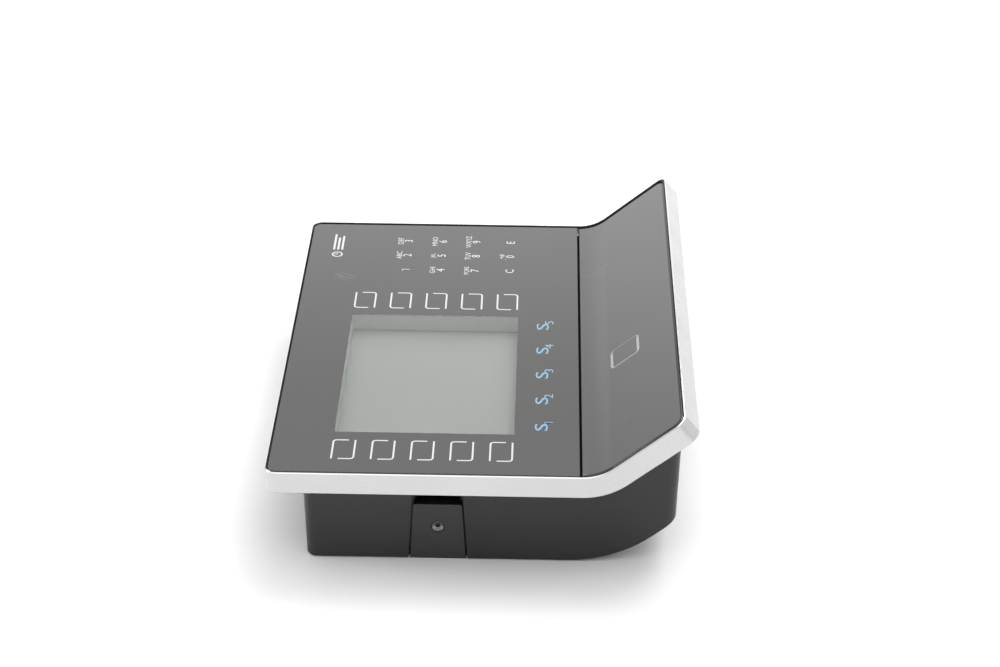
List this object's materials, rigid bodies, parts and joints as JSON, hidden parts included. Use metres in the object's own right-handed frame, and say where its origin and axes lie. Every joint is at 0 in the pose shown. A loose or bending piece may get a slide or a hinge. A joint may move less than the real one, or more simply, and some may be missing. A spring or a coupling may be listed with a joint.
{
  "type": "wall-mounted touch panel terminal",
  "caption": "Flat black glass touch terminal with a display, printed keypad and a raised contactless reader shelf in an aluminium rim, on a black tub housing with a rear wall plate.",
  "frame": {"origin": "on the wall, under the middle of the terminal's outline; the terminal lies on its back", "axes": "+X across the front from left to right, +Y from the reader shelf to the top edge, +Z out of the wall towards the user"},
  "size_m": [0.257, 0.2023, 0.0876],
  "materials": {
    "aluminium": "satin anodised",
    "printed_glass": "gloss, printed black behind",
    "window_glass": "clear gloss",
    "black_plastic": "fine moulded grain",
    "connector_plastic": "moulded",
    "green_plastic": "moulded",
    "red_plastic": "moulded",
    "blue_plastic": "moulded",
    "white_plastic": "moulded",
    "light_guide": "milky",
    "grey_ribbon": "flexible insulation",
    "circuit_board": "solder resist",
    "copper": "bare copper track",
    "brass": "turned",
    "steel": "zinc plated",
    "black_steel": "blackened",
    "rubber": "matte",
    "foam": "matte foam",
    "display_glass": "anti-glare",
    "capacitor_sleeve": "shrink sleeve"
  },
  "bodies": {
    "wall_mount": {"wall_plate": "black_steel", "cable_grommet": "rubber"},
    "terminal": {"rim_frame": "aluminium", "front_glass": "printed_glass", "display_window": "window_glass", "reader_cover": "printed_glass", "front_chassis": "black_plastic", "housing_seal": "rubber", "key_sensor_board": "circuit_board", "display_gasket": "foam", "display_bezel": "steel", "display_panel": "display_glass", "display_backlight": "white_plastic", "rear_housing": "black_plastic", "main_board": "circuit_board", "heat_sink": "aluminium", "network_jack": "steel", "power_terminal_block": "green_plastic", "io_terminal_block": "green_plastic", "main_header": "connector_plastic", "display_header": "connector_plastic", "relay": "blue_plastic", "power_module": "connector_plastic", "capacitor_1": "capacitor_sleeve", "capacitor_2": "capacitor_sleeve", "buzzer": "connector_plastic", "coin_cell_holder": "connector_plastic", "coin_cell": "steel", "dip_switch_block": "red_plastic", "reset_switch_base": "steel", "tamper_switch": "connector_plastic", "reader_board": "circuit_board", "antenna_coil": "copper", "light_guide_ring": "light_guide", "reader_header": "connector_plastic", "reader_ribbon": "grey_ribbon", "display_ribbon": "grey_ribbon", "housing_screw_1": "steel", "board_screw_1": "steel", "chassis_standoff_1": "brass", "housing_screw_2": "steel", "board_screw_2": "steel", "chassis_standoff_2": "brass", "housing_screw_3": "steel", "board_screw_3": "steel", "chassis_standoff_3": "brass", "housing_screw_4": "steel", "board_screw_4": "steel", "chassis_standoff_4": "brass"},
    "lock_screw_left": {"lock_screw_left": "black_steel"},
    "lock_screw_right": {"lock_screw_right": "black_steel"},
    "reset_button": {"reset_button": "white_plastic"},
    "tamper_plunger": {"tamper_plunger": "white_plastic"}
  },
  "joints": [
    {"name": "terminal_lift_off", "type": "slide", "parent": "wall_mount", "child": "terminal", "axis": [0, 0, 1], "range_m": [0, 0.045]},
    {"name": "lock_screw_left_turn", "type": "hinge", "parent": "wall_mount", "child": "lock_screw_left", "pos_m": [-0.1149, 0.0207, 0.0182], "axis": [-1, 0, 0], "continuous": true},
    {"name": "lock_screw_right_turn", "type": "hinge", "parent": "wall_mount", "child": "lock_screw_right", "pos_m": [0.1149, 0.0207, 0.0182], "axis": [1, 0, 0], "continuous": true},
    {"name": "reset_button_press", "type": "slide", "parent": "terminal", "child": "reset_button", "axis": [0, 0, -1], "range_m": [0, 0.0003], "stiffness_N_per_m": 2000},
    {"name": "tamper_plunger_press", "type": "slide", "parent": "terminal", "child": "tamper_plunger", "axis": [0, 0, 1], "range_m": [0, 0.002], "stiffness_N_per_m": 300}
  ]
}
